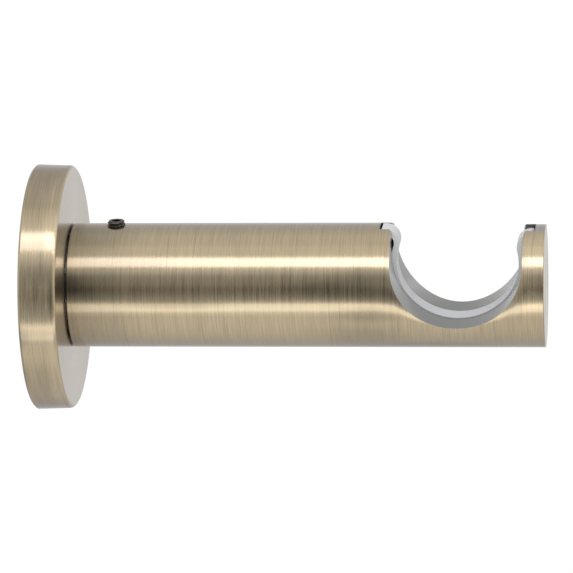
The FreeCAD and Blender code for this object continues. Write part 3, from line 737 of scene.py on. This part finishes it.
def softbox(name, elevation, distance, spread, length, shift, radiance, colour=(1.0, 1.0, 1.0)):
    """Long lamp parallel to the arm, at an elevation round it; spread is the angle that it covers."""
    angle = math.radians(elevation)
    outward = Vector((0.0, -math.cos(angle), math.sin(angle)))
    height = 2 * distance * math.tan(math.radians(spread / 2))
    lamp = bpy.data.lights.new(name, "AREA")
    lamp.shape = "RECTANGLE"
    lamp.size = length
    lamp.size_y = height
    lamp.energy = ENERGY_FACTOR * length * height * radiance
    lamp.color = colour
    holder = bpy.data.objects.new(name, lamp)
    across = Vector((1.0, 0.0, 0.0))
    up = outward.cross(across)
    centre = Vector((TARGET.x + shift, 0, 0)) + outward * distance
    turn = Matrix((across, up, outward)).transposed()
    holder.matrix_world = Matrix.Translation(centre) @ turn.to_4x4()
    holder.visible_camera = False
    bpy.context.scene.collection.objects.link(holder)


# Dark card: its place, and its elevation in degrees and level from the low end to the high end.
CARD_DISTANCE = 1.25
CARD_LEFT, CARD_RIGHT = -0.5, 1.1
CARD_COLOUR = (0.94, 1.0, 1.06)
CARD_LEVELS = [(-22.0, 0.95), (-17.0, 0.62), (-12.7, 0.42), (-8.0, 0.30), (-3.0, 0.23),
               (1.5, 0.155), (6.0, 0.125), (10.0, 0.20), (17.0, 0.32), (25.0, 0.37),
               (31.0, 0.46), (36.0, 0.82), (40.0, 1.05)]


def dark_card():
    """Dark studio behind the camera, graded from low to high and seen only in the metal."""
    heights = [CARD_DISTANCE * math.tan(math.radians(elevation)) for elevation, _ in CARD_LEVELS]
    low, high = heights[0], heights[-1]
    middle = Vector(((CARD_LEFT + CARD_RIGHT) / 2, -CARD_DISTANCE, (low + high) / 2))
    across = Vector(((CARD_RIGHT - CARD_LEFT) / 2, 0, 0))
    up = Vector((0, 0, (high - low) / 2))
    card = quad("dark_card", middle, across, up)
    card.visible_camera = False
    card.visible_diffuse = False
    card.visible_transmission = False
    card.visible_shadow = False

    graph, surface = paint_sheet(card, "dark_card")
    ramp = graph.add("ShaderNodeValToRGB")
    graph.feed(ramp.inputs[0], graph.over(graph.minus(graph.z, low), high - low))
    stops = ramp.color_ramp.elements
    for height in heights[1:-1]:
        stops.new((height - low) / (high - low))
    for stop, (_, level) in zip(stops, CARD_LEVELS):
        stop.color = (level, level, level, 1.0)
    glow = graph.add("ShaderNodeEmission")
    graph.feed(glow.inputs["Color"], CARD_COLOUR)
    graph.feed(glow.inputs["Strength"], ramp.outputs[0])
    graph.feed(surface, glow.outputs[0])


make_world()
make_floor()
softbox("key_softbox", elevation=56.7, distance=1.0, spread=18.2, length=1.6, shift=0.2, radiance=1.9,
        colour=(0.98, 1.0, 1.14))
softbox("key_halo", elevation=74.0, distance=1.1, spread=36.0, length=1.6, shift=0.2, radiance=0.13)
softbox("low_softbox", elevation=-29.0, distance=0.6, spread=15.0, length=1.2, shift=0.1, radiance=0.9)
softbox("low_halo", elevation=-46.0, distance=0.65, spread=26.0, length=1.2, shift=0.1, radiance=0.24)
dark_card()

# Camera at the photograph's view.
AZIMUTH = math.radians(6.221)
ELEVATION = math.radians(14.231)
ROLL = math.radians(-1.529)
DISTANCE = 879.593 * MM
LENS = 244.98


def make_camera():
    ahead = Vector((-math.sin(AZIMUTH) * math.cos(ELEVATION), math.cos(AZIMUTH) * math.cos(ELEVATION),
                    -math.sin(ELEVATION)))
    level = Vector((math.cos(AZIMUTH), math.sin(AZIMUTH), 0.0))
    above = level.cross(ahead)
    right = math.cos(ROLL) * level + math.sin(ROLL) * above
    up = -math.sin(ROLL) * level + math.cos(ROLL) * above
    data = bpy.data.cameras.new("camera")
    data.sensor_width = 36.0
    data.lens = LENS
    data.clip_start = 0.05
    data.clip_end = 50.0
    camera = bpy.data.objects.new("camera", data)
    turn = Matrix((right, up, -ahead)).transposed()
    camera.matrix_world = Matrix.Translation(TARGET - DISTANCE * ahead) @ turn.to_4x4()
    bpy.context.scene.collection.objects.link(camera)
    bpy.context.scene.camera = camera


make_camera()
bpy.context.scene.view_settings.view_transform = "Standard"
